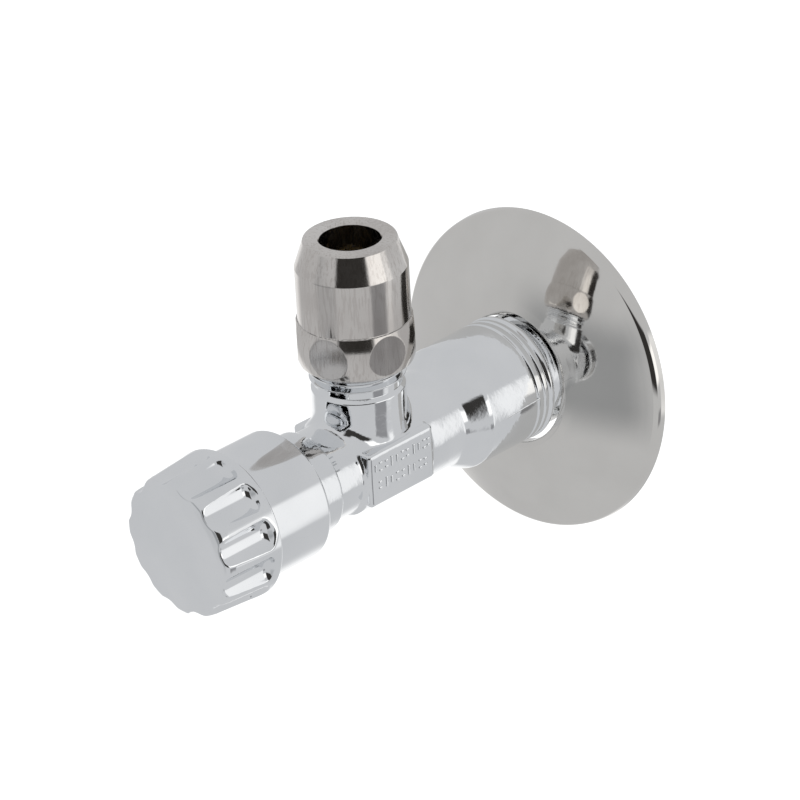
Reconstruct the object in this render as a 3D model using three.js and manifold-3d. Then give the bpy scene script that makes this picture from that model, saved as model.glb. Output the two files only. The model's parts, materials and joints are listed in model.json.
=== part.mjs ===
// Angle stop valve: a chrome-plated brass body with a rising spindle and a fluted knob, a
// compression fitting for a 10 mm tube on its branch, and a loose wall rosette on its tail.
//
// Millimetres. The inlet axis is Y: the tail points into the wall (+Y) and the knob faces the room
// (-Y). The outlet branch points up (+Z). The mouth of the wall socket is y = 0, and the finished
// wall is y = 1.3, where the rosette's rim lies when it is pushed flat.
import * as THREE from 'three';
import { mergeVertices } from 'three/addons/utils/BufferGeometryUtils.js';
import Module from 'manifold-3d';

const wasm = await Module();
wasm.setup();

// ---------- driving dimensions ----------
const GAP = 0.3; // between neighbours that bear on each other
const RUN = 0.1; // radial clearance of a turning fit
const FINE = 48; // facets round the large outside surfaces
const MEDIUM = 32; // facets round the bores and the bonnet
const COARSE = 24; // facets round the small hidden pieces

// positions along the inlet axis
const TAIL_END = 13.0;
const FLANGE_BACK = -6.4;
const SHOULDER_END = -21.8;
const SHOULDER_START = -26.2;
const OUTLET_Y = -42.5;
const NECK_STEP = -50.4;
const NECK_FACE = -55.6;
const SLEEVE_BACK = -61.2;
const SEAM = -74.0;
const KNOB_EDGE = -85.2;
const KNOB_FRONT = -86.2;

// outside radii
const TAIL_R = 10.48; // G1/2, 20.96 mm over the crests
const FLANGE_R = 11.45;
const BIG_END_R = 11.15;
const BARREL_R = 9.0;
const NECK_R = 8.2;
const COLLAR_R = 9.1;
const SLEEVE_R = 11.55;
const GRIP_FRONT_R = 12.45;
const GRIP_BACK_R = 13.25;
const BRANCH_R = 8.1;
const OUTLET_THREAD_R = 8.33; // G3/8, 16.66 mm over the crests
const ROSETTE_R = 29.45;

// waterway
const TAIL_BORE_R = 7.6;
const INLET_BORE_R = 6.4;
const SEAT_BORE_R = 4.0;
const SEAT_FACE = -34.5;
const CHAMBER_R = 6.4;
const NECK_BORE_R = 7.0;
const TUBE_R = 5.0; // the 10 mm tube that the fitting takes
const TUBE_STOP_Z = 17.0;
const BRANCH_BORE_R = 4.6;

// heights along the outlet axis
const THREAD_START_Z = 14.1;
const BRANCH_TOP_Z = 27.0;
const NUT_BOTTOM_Z = 17.9;
const NUT_LEDGE_Z = 26.3;
const NUT_CONE_Z = 36.0;
const NUT_TOP_Z = 40.8;
const NUT_WAIST_Z = 18.6; // foot of the swelling part
const NUT_FOOT_R = 8.95;
const NUT_SHELF_R = 7.2; // recess that the thrust ring sits in
const NUT_FLAT = 9.9; // half the width across flats
const NUT_FLAT_R = 3.6; // each flat is a disc of this radius
const NUT_FLAT_TURN = 48; // degrees from +X to a flat
const NUT_UPPER_R = 9.6;
const NUT_FACE_R = 7.9;

// the raised pads that carry the casting marks
const PAD = { y0: -49.8, y1: -34.4, z0: -4.8, z1: 5.3, face: 9.25, corner: 0.8 };

// knob flutes
const FLUTES = 12;
const FLUTE_FIRST = 15; // degrees from +X to the first flute
const FLUTE_R = 3.2;
const FLUTE_FLOOR_R = 11.3;
const FLUTE_END = -74.9;
const FLUTE_SLOPE = 1.7;

// rosette, hanging loose on the tail and leaning back against the wall at its top
const ROSETTE_HEIGHT = 7.15; // from the rim to the lip of the hole
const ROSETTE_DOME_R = 68; // its face is part of a ball of this radius
const ROSETTE_DOME_LEVEL = 59.7; // the ball's middle is this far behind the rim
const ROSETTE_SHEET = 0.6;
const ROSETTE_HOLE_R = 11.65;
const SHOULDER_BEND_START = 28.4; // the dome bends back into the rim's short skirt from here
const SHOULDER_BEND_R = 1.5;
const SHOULDER_BEND_END = 83; // the skirt's slope in degrees
const NECK_TUBE = 2.2; // length of the collar's bore
const ROSETTE_LEAN = 5.5; // degrees
const ROSETTE_LEAN_AXIS = new THREE.Vector3(-0.904, 0, 0.426);
const ROSETTE_NECK = new THREE.Vector3(0, -5.85, -0.6);

// ---------- materials ----------
const finish = (color, metalness, roughness) => (
  new THREE.MeshStandardMaterial({ color, metalness, roughness })
);
const chrome = () => finish(0xdfe3e6, 1, 0.06);
const platedPlastic = () => finish(0xd3d7da, 1, 0.1);
const nickel = () => finish(0xbdb7b0, 1, 0.16);
const stainless = () => finish(0xc8c3bd, 1, 0.18);
const brass = () => finish(0xb8954f, 1, 0.35);
const rubber = () => finish(0x1c1c1d, 0, 0.8);
const fibre = () => finish(0xe4e0d6, 0, 0.6);
const springSteel = () => finish(0x8b8f93, 1, 0.3);
const whitePlastic = () => finish(0xe9e9e6, 0, 0.45);

// ---------- helpers ----------
/** A closed geometry as a solid, with shared vertices merged and its faces turned outwards. */
function solid(geometry) {
  const bare = geometry.clone();
  bare.deleteAttribute('normal');
  bare.deleteAttribute('uv');
  const merged = mergeVertices(bare, 1e-4);
  const position = merged.getAttribute('position');
  const corners = Array.from(merged.index.array);
  const points = [];
  for (let i = 0; i < position.count; i += 1) {
    points.push(new THREE.Vector3().fromBufferAttribute(position, i));
  }
  const faces = [];
  let volume = 0;
  for (let i = 0; i < corners.length; i += 3) {
    const [a, b, c] = corners.slice(i, i + 3);
    if (a === b || b === c || c === a) continue;
    faces.push([a, b, c]);
    volume += points[a].dot(points[b].clone().cross(points[c]));
  }
  const outward = volume > 0 ? faces : faces.map(([a, b, c]) => [a, c, b]);
  const vertProperties = new Float32Array(points.flatMap((p) => p.toArray()));
  const triVerts = new Uint32Array(outward.flat());
  return new wasm.Manifold(new wasm.Mesh({ numProp: 3, vertProperties, triVerts }));
}

/** A named part made from a solid. */
function part(name, body, material) {
  const mesh = body.getMesh();
  const geometry = new THREE.BufferGeometry();
  geometry.setAttribute('position', new THREE.BufferAttribute(new Float32Array(mesh.vertProperties), 3));
  geometry.setIndex(new THREE.BufferAttribute(new Uint32Array(mesh.triVerts), 1));
  geometry.computeVertexNormals();
  const node = new THREE.Mesh(geometry, material);
  node.name = name;
  return node;
}

/** A profile of [radius, height] points turned round the Y axis. */
function turned(profile, facets) {
  const points = profile.map(([r, y]) => new THREE.Vector2(r, y));
  return new THREE.LatheGeometry(points, facets);
}

const turnedSolid = (profile, facets) => solid(turned(profile, facets));

/** The same, standing on the outlet axis: heights become z. */
function upright(profile, facets) {
  const geometry = turned(profile, facets);
  geometry.rotateX(Math.PI / 2);
  geometry.translate(0, OUTLET_Y, 0);
  return solid(geometry);
}

/** A closed ring profile between two radii and two heights. */
const ringProfile = (r0, r1, h0, h1) => [[r0, h0], [r1, h0], [r1, h1], [r0, h1], [r0, h0]];

/** A solid-bar profile that starts and ends on the axis. */
const barProfile = (r, h0, h1) => [[0, h0], [r, h0], [r, h1], [0, h1]];

/** An O-ring's profile: a round section of radius s at radius r. */
function oRingProfile(r, s, h, sides = 8) {
  const profile = [];
  for (let i = 0; i <= sides; i += 1) {
    const a = (i % sides) * (2 * Math.PI) / sides;
    profile.push([r + s * Math.cos(a), h + s * Math.sin(a)]);
  }
  return profile;
}

/** A hexagonal bar along Y, given its width across flats. */
function hexBar(acrossFlats, y0, y1) {
  const corner = acrossFlats / 2 / Math.cos(Math.PI / 6);
  const geometry = new THREE.CylinderGeometry(corner, corner, y1 - y0, 6);
  geometry.translate(0, (y0 + y1) / 2, 0);
  return solid(geometry);
}

/** A bar's end teeth: a toothed outline pushed along Y. */
function splineBar(rRoot, rTip, teeth, y0, y1) {
  const shape = new THREE.Shape();
  const steps = teeth * 2;
  for (let i = 0; i < steps; i += 1) {
    const a = (i / steps) * 2 * Math.PI;
    const r = i % 2 === 0 ? rTip : rRoot;
    if (i === 0) shape.moveTo(r, 0);
    else shape.lineTo(r * Math.cos(a), r * Math.sin(a));
  }
  shape.closePath();
  const geometry = new THREE.ExtrudeGeometry(shape, { depth: y1 - y0, bevelEnabled: false, steps: 1 });
  geometry.rotateX(Math.PI / 2);
  geometry.translate(0, y1, 0);
  return solid(geometry);
}

// ---------- body ----------
/** A pad of the casting, on the +X side or, mirrored, on the -X side. */
function pad(side) {
  const { y0, y1, z0, z1, face, corner } = PAD;
  const shape = new THREE.Shape();
  shape.moveTo(y0 + corner, z0);
  shape.lineTo(y1 - corner, z0);
  shape.absarc(y1 - corner, z0 + corner, corner, -Math.PI / 2, 0, false);
  shape.lineTo(y1, z1 - corner);
  shape.absarc(y1 - corner, z1 - corner, corner, 0, Math.PI / 2, false);
  shape.lineTo(y0 + corner, z1);
  shape.absarc(y0 + corner, z1 - corner, corner, Math.PI / 2, Math.PI, false);
  shape.lineTo(y0, z0 + corner);
  shape.absarc(y0 + corner, z0 + corner, corner, Math.PI, Math.PI * 1.5, false);
  const geometry = new THREE.ExtrudeGeometry(shape, { depth: face, bevelEnabled: false, curveSegments: 3 });
  // the outline is drawn in (y, z) and pushed along x
  geometry.applyMatrix4(new THREE.Matrix4().makeBasis(
    new THREE.Vector3(0, 1, 0),
    new THREE.Vector3(0, 0, 1),
    new THREE.Vector3(1, 0, 0),
  ));
  geometry.scale(side, 1, 1);
  return solid(geometry);
}

function valveBody() {
  const shell = turnedSolid([
    [0, NECK_FACE], [NECK_R, NECK_FACE], [NECK_R, NECK_STEP],
    [BARREL_R - 0.15, NECK_STEP + 1.0], [BARREL_R, SHOULDER_START],
    [BIG_END_R, SHOULDER_END], [BIG_END_R + 0.15, FLANGE_BACK - 5.0],
    [BIG_END_R - 0.15, FLANGE_BACK - 4.7], [BIG_END_R - 0.15, FLANGE_BACK - 4.2],
    [BIG_END_R + 0.15, FLANGE_BACK - 3.9], [BIG_END_R + 0.15, FLANGE_BACK - 2.6],
    [BIG_END_R - 0.25, FLANGE_BACK - 2.2], [BIG_END_R - 0.25, FLANGE_BACK - 1.6],
    [FLANGE_R, FLANGE_BACK - 1.2], [FLANGE_R, FLANGE_BACK],
    [TAIL_R - 0.9, FLANGE_BACK], [TAIL_R - 0.9, FLANGE_BACK + 1.6],
    [TAIL_R, FLANGE_BACK + 2.5], [TAIL_R, TAIL_END - 1.2], [TAIL_R - 1.2, TAIL_END], [0, TAIL_END],
  ], FINE);
  const branch = upright([
    [0, 0], [BRANCH_R, 0], [BRANCH_R, THREAD_START_Z - 0.5], [OUTLET_THREAD_R, THREAD_START_Z],
    [OUTLET_THREAD_R, BRANCH_TOP_Z - 0.8], [OUTLET_THREAD_R - 0.8, BRANCH_TOP_Z], [0, BRANCH_TOP_Z],
  ], FINE);
  const mainBore = turnedSolid([
    [0, NECK_FACE - 1], [NECK_BORE_R + 0.8, NECK_FACE - 1], [NECK_BORE_R + 0.8, NECK_FACE + 1.4],
    [NECK_BORE_R, NECK_FACE + 1.4], [NECK_BORE_R, NECK_STEP + 0.8], [CHAMBER_R, NECK_STEP + 0.8],
    [CHAMBER_R, SEAT_FACE], [SEAT_BORE_R, SEAT_FACE], [SEAT_BORE_R, SEAT_FACE + 4],
    [INLET_BORE_R, SEAT_FACE + 6.4], [INLET_BORE_R, SHOULDER_END - 1], [TAIL_BORE_R, SHOULDER_END + 1],
    [TAIL_BORE_R, TAIL_END + 1], [0, TAIL_END + 1],
  ], MEDIUM);
  const branchBore = upright([
    [0, 0], [BRANCH_BORE_R, 0], [BRANCH_BORE_R, TUBE_STOP_Z], [TUBE_R + GAP, TUBE_STOP_Z],
    [TUBE_R + GAP, BRANCH_TOP_Z - 2.4], [TUBE_R + 0.6, BRANCH_TOP_Z - 2.4],
    [TUBE_R + 1.9, BRANCH_TOP_Z], [TUBE_R + 2.4, BRANCH_TOP_Z + 1], [0, BRANCH_TOP_Z + 1],
  ], MEDIUM);
  const casting = shell.add(branch).add(pad(1)).add(pad(-1));
  return part('valve_body', casting.subtract(mainBore).subtract(branchBore), chrome());
}

// ---------- bonnet and its seals ----------
const STEM_R = 3.1;
const SPINDLE_R = 4.0;
const GLAND_BORE_R = 5.2;
const BONNET_END = -50.1;
const GLAND_FLOOR = -66.0;
const BONNET_FRONT = -71.6;
const BONNET_HEX = 17;
const BONNET_BARREL_R = 7.2;
const GLAND_HEX = 12;
const SEAT_NUT_HEX = 5.5;

function bonnet() {
  const collarFace = NECK_FACE - GAP;
  const threadR = NECK_BORE_R - GAP;
  const outside = turnedSolid([
    [0, BONNET_FRONT], [BONNET_BARREL_R - 0.2, BONNET_FRONT], [BONNET_BARREL_R, BONNET_FRONT + 0.2],
    [BONNET_BARREL_R, SLEEVE_BACK - 0.3], [COLLAR_R, SLEEVE_BACK - 0.3],
    [COLLAR_R, collarFace], [threadR - 0.5, collarFace],
    [threadR - 0.5, NECK_FACE + 1.7], [threadR, NECK_FACE + 2.0], [threadR, BONNET_END - 0.5],
    [threadR - 0.5, BONNET_END], [0, BONNET_END],
  ], MEDIUM);
  const hexagon = hexBar(BONNET_HEX, SLEEVE_BACK - 5.2, SLEEVE_BACK - 0.2);
  const bore = turnedSolid([
    [0, BONNET_FRONT - 1], [GLAND_BORE_R, BONNET_FRONT - 1], [GLAND_BORE_R, GLAND_FLOOR],
    [SPINDLE_R + RUN, GLAND_FLOOR], [SPINDLE_R + RUN, BONNET_END + 1], [0, BONNET_END + 1],
  ], MEDIUM);
  return part('bonnet', outside.add(hexagon).subtract(bore), brass());
}

function bonnetSeals() {
  const hole = STEM_R + RUN;
  const rim = GLAND_BORE_R - GAP;
  const ring = turnedSolid(oRingProfile(NECK_BORE_R, 0.5, NECK_FACE + 0.6), COARSE);
  const washer = turnedSolid(ringProfile(hole, rim, GLAND_FLOOR - 0.9, GLAND_FLOOR - GAP), COARSE);
  const packing = turnedSolid(ringProfile(hole, rim, GLAND_FLOOR - 3.3, GLAND_FLOOR - 1.2), COARSE);
  return [
    part('bonnet_o_ring', ring, rubber()),
    part('gland_washer', washer, brass()),
    part('gland_packing', packing, fibre()),
  ];
}

function glandNut() {
  const barrelEnd = GLAND_FLOOR - 3.6;
  const headBack = BONNET_FRONT - GAP;
  const head = hexBar(GLAND_HEX, headBack - 2.1, headBack);
  const barrel = turnedSolid(barProfile(GLAND_BORE_R - GAP, headBack - 0.5, barrelEnd), COARSE);
  const hole = turnedSolid(barProfile(STEM_R + RUN, headBack - 4, barrelEnd + 1), COARSE);
  return part('gland_nut', head.add(barrel).subtract(hole), brass());
}

// ---------- spindle, jumper and seat washer ----------
const SPINDLE_SHOULDER = -62.3; // comes against the gland washer when fully open
const SPINDLE_END = -41.6;
const SPLINE_START = -74.6;
const SPINDLE_TIP = -82.6;
const SPLINES = 12;
const O_RING_YS = { spindle_o_ring_front: -60.6, spindle_o_ring_rear: -58.0 };
const JUMPER_STEM_R = 1.9;
const STUD_R = 1.5; // the jumper's stud that holds the seat washer
const DISC_FRONT = -40.6;
const DISC_BACK = -38.4;
const WASHER_BACK = SEAT_FACE - GAP;

function spindle() {
  const groove = (y) => [
    [SPINDLE_R, y - 0.8], [SPINDLE_R - 1.0, y - 0.8], [SPINDLE_R - 1.0, y + 0.8], [SPINDLE_R, y + 0.8],
  ];
  const bar = turnedSolid([
    [0, SPLINE_START - 1], [STEM_R - 0.5, SPLINE_START - 1], [STEM_R - 0.5, SPLINE_START],
    [STEM_R, SPLINE_START], [STEM_R, SPINDLE_SHOULDER], [SPINDLE_R, SPINDLE_SHOULDER],
    ...groove(O_RING_YS.spindle_o_ring_front), ...groove(O_RING_YS.spindle_o_ring_rear),
    [SPINDLE_R, SPINDLE_END - 0.5], [SPINDLE_R - 0.5, SPINDLE_END],
    [JUMPER_STEM_R + RUN, SPINDLE_END], [JUMPER_STEM_R + RUN, SPINDLE_END - 6.5], [0, SPINDLE_END - 6.5],
  ], MEDIUM);
  const splines = splineBar(STEM_R - 0.5, STEM_R - 0.1, SPLINES, SPINDLE_TIP, SPLINE_START - 0.5);
  const clipGroove = turnedSolid(
    ringProfile(STEM_R - 0.8, STEM_R + 1, SPINDLE_TIP + 0.5, SPINDLE_TIP + 1.6),
    COARSE,
  );
  return part('spindle', bar.add(splines).subtract(clipGroove), brass());
}

function spindleORings() {
  return Object.entries(O_RING_YS).map(([name, y]) => {
    const ring = turnedSolid(oRingProfile(SPINDLE_R - 0.45, 0.45, y), COARSE);
    return part(name, ring, rubber());
  });
}

function jumper() {
  const body = turnedSolid([
    [0, SPINDLE_END - 6], [JUMPER_STEM_R, SPINDLE_END - 6], [JUMPER_STEM_R, DISC_FRONT],
    [CHAMBER_R - 0.7, DISC_FRONT], [CHAMBER_R - 0.7, DISC_BACK], [STUD_R, DISC_BACK],
    [STUD_R, SEAT_FACE + 2.4], [0, SEAT_FACE + 2.4],
  ], COARSE);
  return part('jumper', body, brass());
}

function seatWasher() {
  const ring = ringProfile(STUD_R + GAP, CHAMBER_R - 0.8, DISC_BACK + GAP, WASHER_BACK);
  return part('seat_washer', turnedSolid(ring, COARSE), rubber());
}

function seatWasherNut() {
  const hex = hexBar(SEAT_NUT_HEX, SEAT_FACE, SEAT_FACE + 1.9);
  const hole = turnedSolid(barProfile(STUD_R + GAP, SEAT_FACE - 1, SEAT_FACE + 3), COARSE);
  return part('seat_washer_nut', hex.subtract(hole), brass());
}

// ---------- knob ----------
const INSERT_R = 5.5;
const INSERT_BACK = -75.6;
const HUB_R = 7.4;
const GRIP_WALL_R = 10.6;

/** One flute's cutter: a round bar beside the grip, with a tapered end near the seam. */
function fluteCutter(index) {
  const bar = turned([
    [0, KNOB_FRONT - 2], [FLUTE_R, KNOB_FRONT - 2], [FLUTE_R, FLUTE_END - FLUTE_SLOPE],
    [FLUTE_R - 2.0, FLUTE_END], [0, FLUTE_END],
  ], 20);
  const angle = THREE.MathUtils.degToRad(FLUTE_FIRST + (index * 360) / FLUTES);
  const out = FLUTE_FLOOR_R + FLUTE_R;
  bar.translate(out * Math.cos(angle), 0, out * Math.sin(angle));
  return solid(bar);
}

function knobGrip() {
  let grip = turnedSolid([
    [0, KNOB_FRONT], [GRIP_FRONT_R * 0.55, KNOB_FRONT + 0.15], [GRIP_FRONT_R - 1.3, KNOB_EDGE - 0.3],
    [GRIP_FRONT_R - 0.35, KNOB_EDGE + 0.1], [GRIP_FRONT_R, KNOB_EDGE + 0.9],
    [GRIP_BACK_R, SEAM - 0.8], [GRIP_BACK_R - 0.4, SEAM], [0, SEAM],
  ], FINE);
  for (let i = 0; i < FLUTES; i += 1) {
    grip = grip.subtract(fluteCutter(i));
  }
  const hollow = turnedSolid(ringProfile(HUB_R, GRIP_WALL_R, KNOB_EDGE + 2.2, SEAM + 1), MEDIUM);
  const socket = turnedSolid(barProfile(INSERT_R + GAP, KNOB_EDGE + 2.0, SEAM + 1), COARSE);
  const hubBack = turnedSolid(barProfile(HUB_R + 0.1, SEAM - 2.0, SEAM + 1), COARSE);
  return part('knob_grip', grip.subtract(hollow).subtract(socket).subtract(hubBack), platedPlastic());
}

function knobSleeve() {
  const inner = SLEEVE_R - 1.25;
  const spigot = GRIP_WALL_R - GAP;
  const tube = turnedSolid([
    [spigot - 1.2, SEAM - 4.5], [spigot, SEAM - 4.5], [spigot, SEAM + 0.25], [SLEEVE_R - 0.2, SEAM + 0.25],
    [SLEEVE_R, SEAM + 0.45], [SLEEVE_R, SLEEVE_BACK - 1.4], [SLEEVE_R - 0.35, SLEEVE_BACK - 0.55],
    [SLEEVE_R - 0.95, SLEEVE_BACK], [inner, SLEEVE_BACK], [inner, SEAM + 2], [spigot - 1.2, SEAM + 1],
    [spigot - 1.2, SEAM - 4.5],
  ], MEDIUM);
  return part('knob_sleeve', tube, platedPlastic());
}

function knobInsert() {
  const bush = turnedSolid(barProfile(INSERT_R, KNOB_EDGE + 4.3, INSERT_BACK), COARSE);
  const bore = splineBar(STEM_R - 0.2, STEM_R + 0.2, SPLINES, KNOB_EDGE + 3, INSERT_BACK + 0.6);
  return part('knob_insert', bush.subtract(bore), whitePlastic());
}

function knobClip() {
  const y = SPINDLE_TIP + 0.75;
  const ring = turnedSolid(ringProfile(STEM_R - 0.65, STEM_R + 0.9, y, y + 0.6), COARSE);
  const slot = new THREE.BoxGeometry(2.0, 3, STEM_R * 4);
  slot.translate(0, y, STEM_R * 2);
  return part('knob_clip', ring.subtract(solid(slot)), springSteel());
}

// ---------- compression fitting ----------
function compressionNut() {
  const middle = (NUT_LEDGE_Z + NUT_WAIST_Z) / 2;
  const ball = Math.hypot(NUT_FLAT, NUT_FLAT_R);
  const swell = (z) => Math.sqrt(ball ** 2 - (z - middle) ** 2);
  const profile = [
    [NUT_TOP_Z, NUT_FACE_R - 0.3], [NUT_TOP_Z - 0.3, NUT_FACE_R], [NUT_CONE_Z, NUT_UPPER_R - 0.1],
    [NUT_CONE_Z - 0.4, NUT_UPPER_R], [NUT_LEDGE_Z + 0.1, NUT_UPPER_R + 0.1],
  ];
  const steps = 4;
  for (let i = 0; i <= steps; i += 1) {
    const z = NUT_LEDGE_Z - ((NUT_LEDGE_Z - NUT_WAIST_Z) * i) / steps;
    profile.push([z, swell(z)]);
  }
  profile.push([NUT_BOTTOM_Z, NUT_FOOT_R]);
  const outline = profile.reverse().map(([z, r]) => [r, z]);
  const outside = upright([[0, NUT_BOTTOM_Z], ...outline, [0, NUT_TOP_Z]], FINE);
  const inside = upright([
    [0, NUT_BOTTOM_Z - 1], [OUTLET_THREAD_R + RUN, NUT_BOTTOM_Z - 1],
    [OUTLET_THREAD_R + RUN, BRANCH_TOP_Z + 1.4], [NUT_SHELF_R, BRANCH_TOP_Z + 1.4],
    [NUT_SHELF_R, BRANCH_TOP_Z + 4.4], [TUBE_R + 0.18, BRANCH_TOP_Z + 4.4],
    [TUBE_R + 0.18, NUT_TOP_Z + 1], [0, NUT_TOP_Z + 1],
  ], MEDIUM);
  const flatFoot = NUT_WAIST_Z - 0.3;
  let nut = outside.subtract(inside);
  for (let i = 0; i < 6; i += 1) {
    const slab = new THREE.BoxGeometry(4, 20, NUT_LEDGE_Z - flatFoot);
    slab.translate(NUT_FLAT + 2, 0, (NUT_LEDGE_Z + flatFoot) / 2);
    slab.rotateZ(THREE.MathUtils.degToRad(NUT_FLAT_TURN + i * 60));
    slab.translate(0, OUTLET_Y, 0);
    nut = nut.subtract(solid(slab));
  }
  return part('compression_nut', nut, nickel());
}

function olive() {
  const low = BRANCH_TOP_Z - 1.7;
  const high = BRANCH_TOP_Z + 3.1;
  const crown = (low + high) / 2;
  const profile = [
    [TUBE_R + 0.15, low], [TUBE_R + 0.6, low], [TUBE_R + 1.6, crown - 0.3], [TUBE_R + 1.6, crown + 0.3],
    [TUBE_R + 0.6, high], [TUBE_R + 0.15, high], [TUBE_R + 0.15, low],
  ];
  return part('olive', upright(profile, COARSE), brass());
}

function thrustRing() {
  const low = BRANCH_TOP_Z + 3.4;
  const ring = ringProfile(TUBE_R + 0.2, NUT_SHELF_R - GAP, low, low + 0.7);
  return part('thrust_ring', upright(ring, COARSE), brass());
}

// ---------- rosette ----------
/** The dome's distance in front of the rim plane at a radius, on its outer face or a sheet below it. */
function domeHeight(r, below = 0) {
  return Math.sqrt((ROSETTE_DOME_R - below) ** 2 - r ** 2) - ROSETTE_DOME_LEVEL;
}

/** Points round the bend between the skirt and the dome, on the outer face or a sheet below it. */
function shoulderBend(below = 0) {
  const start = Math.asin(SHOULDER_BEND_START / ROSETTE_DOME_R);
  const centre = [
    SHOULDER_BEND_START - SHOULDER_BEND_R * Math.sin(start),
    domeHeight(SHOULDER_BEND_START) - SHOULDER_BEND_R * Math.cos(start),
  ];
  const end = THREE.MathUtils.degToRad(SHOULDER_BEND_END);
  const steps = 5;
  return Array.from({ length: steps + 1 }, (_, i) => {
    const slope = end + (start - end) * (i / steps);
    const radius = SHOULDER_BEND_R - below;
    return [centre[0] + radius * Math.sin(slope), centre[1] + radius * Math.cos(slope)];
  });
}

function rosette() {
  const dome = [26.5, 24, 21.5, 19, 16.5, ROSETTE_HOLE_R + 2.75];
  const face = [
    [ROSETTE_R, 0], ...shoulderBend(), ...dome.map((r) => [r, domeHeight(r)]),
    [ROSETTE_HOLE_R + 1.05, ROSETTE_HEIGHT - 0.15], [ROSETTE_HOLE_R, ROSETTE_HEIGHT],
  ];
  const tubeEnd = ROSETTE_HEIGHT - NECK_TUBE;
  const tubeOutside = ROSETTE_HOLE_R + ROSETTE_SHEET;
  const inner = [
    [ROSETTE_HOLE_R, tubeEnd], [tubeOutside, tubeEnd], [tubeOutside, domeHeight(tubeOutside, ROSETTE_SHEET) - 0.3],
    ...[...dome].reverse().map((r) => [r, domeHeight(r, ROSETTE_SHEET)]),
    ...shoulderBend(ROSETTE_SHEET).reverse(), [ROSETTE_R - ROSETTE_SHEET, 0],
  ];
  const loop = [...face, ...inner, [ROSETTE_R, 0]];
  const dish = turned(loop.map(([r, s]) => [r, -s]), FINE);
  const body = part('rosette', solid(dish), stainless());
  const stand = new THREE.Group();
  body.position.set(0, ROSETTE_HEIGHT, 0);
  stand.add(body);
  stand.position.copy(ROSETTE_NECK);
  stand.quaternion.setFromAxisAngle(ROSETTE_LEAN_AXIS.normalize(), THREE.MathUtils.degToRad(ROSETTE_LEAN));
  return stand;
}

// ---------- assembly ----------
const group = new THREE.Group();
group.add(valveBody(), bonnet(), ...bonnetSeals(), glandNut());
group.add(spindle(), ...spindleORings(), jumper(), seatWasher(), seatWasherNut());
group.add(knobGrip(), knobSleeve(), knobInsert(), knobClip());
group.add(compressionNut(), olive(), thrustRing(), rosette());

export default group;
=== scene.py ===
"""Angle stop valve: the fine surfaces, materials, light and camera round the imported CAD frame.

Working numbers are in millimetres and are scaled to metres when a mesh is made. The inlet axis is Y,
with the wall socket's mouth at y = 0 and the knob towards -Y; the outlet branch points up (+Z).
"""
import json
import math

import bpy
import numpy as np
from mathutils import Matrix, Quaternion, Vector


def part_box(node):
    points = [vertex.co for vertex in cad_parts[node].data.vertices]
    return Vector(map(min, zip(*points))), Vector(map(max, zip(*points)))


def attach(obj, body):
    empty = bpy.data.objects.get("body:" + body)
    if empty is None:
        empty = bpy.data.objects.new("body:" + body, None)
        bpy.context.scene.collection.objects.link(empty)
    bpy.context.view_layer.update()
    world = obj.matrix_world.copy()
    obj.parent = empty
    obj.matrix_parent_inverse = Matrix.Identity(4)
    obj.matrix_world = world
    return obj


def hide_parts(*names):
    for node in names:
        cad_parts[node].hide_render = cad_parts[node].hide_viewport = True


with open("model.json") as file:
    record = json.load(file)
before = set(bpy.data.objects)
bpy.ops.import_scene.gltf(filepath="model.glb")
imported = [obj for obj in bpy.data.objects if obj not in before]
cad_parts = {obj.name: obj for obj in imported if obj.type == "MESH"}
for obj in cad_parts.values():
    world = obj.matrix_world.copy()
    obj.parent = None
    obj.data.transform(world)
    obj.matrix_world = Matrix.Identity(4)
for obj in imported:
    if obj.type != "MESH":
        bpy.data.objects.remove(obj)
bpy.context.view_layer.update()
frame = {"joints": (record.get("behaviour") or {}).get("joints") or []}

MM = 0.001
JOINTS = {joint["name"]: joint for joint in frame["joints"]}


def node_box(node):
    """A CAD node's lowest and highest corner, in millimetres."""
    low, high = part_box(node)
    return np.array(low) / MM, np.array(high) / MM


# ---------- places and sizes from the frame ----------
BODY_LOW, BODY_HIGH = node_box("valve_body")
NECK_FACE, TAIL_END = BODY_LOW[1], BODY_HIGH[1] - 0.03
FLANGE_R, BRANCH_TOP = BODY_HIGH[0], BODY_HIGH[2]
OUTLET_Y = JOINTS["nut_turn"]["pos_m"][1] / MM
SLEEVE_LOW, SLEEVE_HIGH = node_box("knob_sleeve")
SLEEVE_BACK, SLEEVE_R = SLEEVE_HIGH[1], SLEEVE_HIGH[0]
GRIP_LOW, GRIP_HIGH = node_box("knob_grip")
KNOB_FRONT, SEAM = GRIP_LOW[1], GRIP_HIGH[1]
NUT_LOW, NUT_HIGH = node_box("compression_nut")
NUT_BOTTOM, NUT_TOP = NUT_LOW[2], NUT_HIGH[2]
BONNET_LOW, BONNET_HIGH = node_box("bonnet")
BONNET_FRONT, BONNET_END = BONNET_LOW[1], BONNET_HIGH[1]
COLLAR_R = BONNET_HIGH[0]

# ---------- body ----------
NECK_R = 8.2
NECK_STEP = NECK_FACE + 5.2
BARREL_R = 9.0
SHOULDER_START = NECK_FACE + 29.4
SHOULDER_END = NECK_FACE + 33.8
BIG_END_R = FLANGE_R - 0.25
FLANGE_BACK = -6.4
RING_GROOVES = (FLANGE_BACK - 4.1, FLANGE_BACK - 2.45, FLANGE_BACK - 1.15)
GROOVE_DEPTH = 0.3
GROOVE_HALF = 0.12
BRANCH_R = 8.1
THREAD_START = 13.9
PAD_HALF = (9.25, 7.7, 5.05)
PAD_CENTRE = (0.0, -42.1, 0.25)
PAD_EDGE = 0.8
BRANCH_FILLET = 2.2
PARTING_Y = -14.2
PARTING_Z = 0.75

G12 = {"crest": 10.48, "root": 9.32, "pitch": 1.814}
G38 = {"crest": 8.33, "root": 7.47, "pitch": 1.337}

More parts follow.
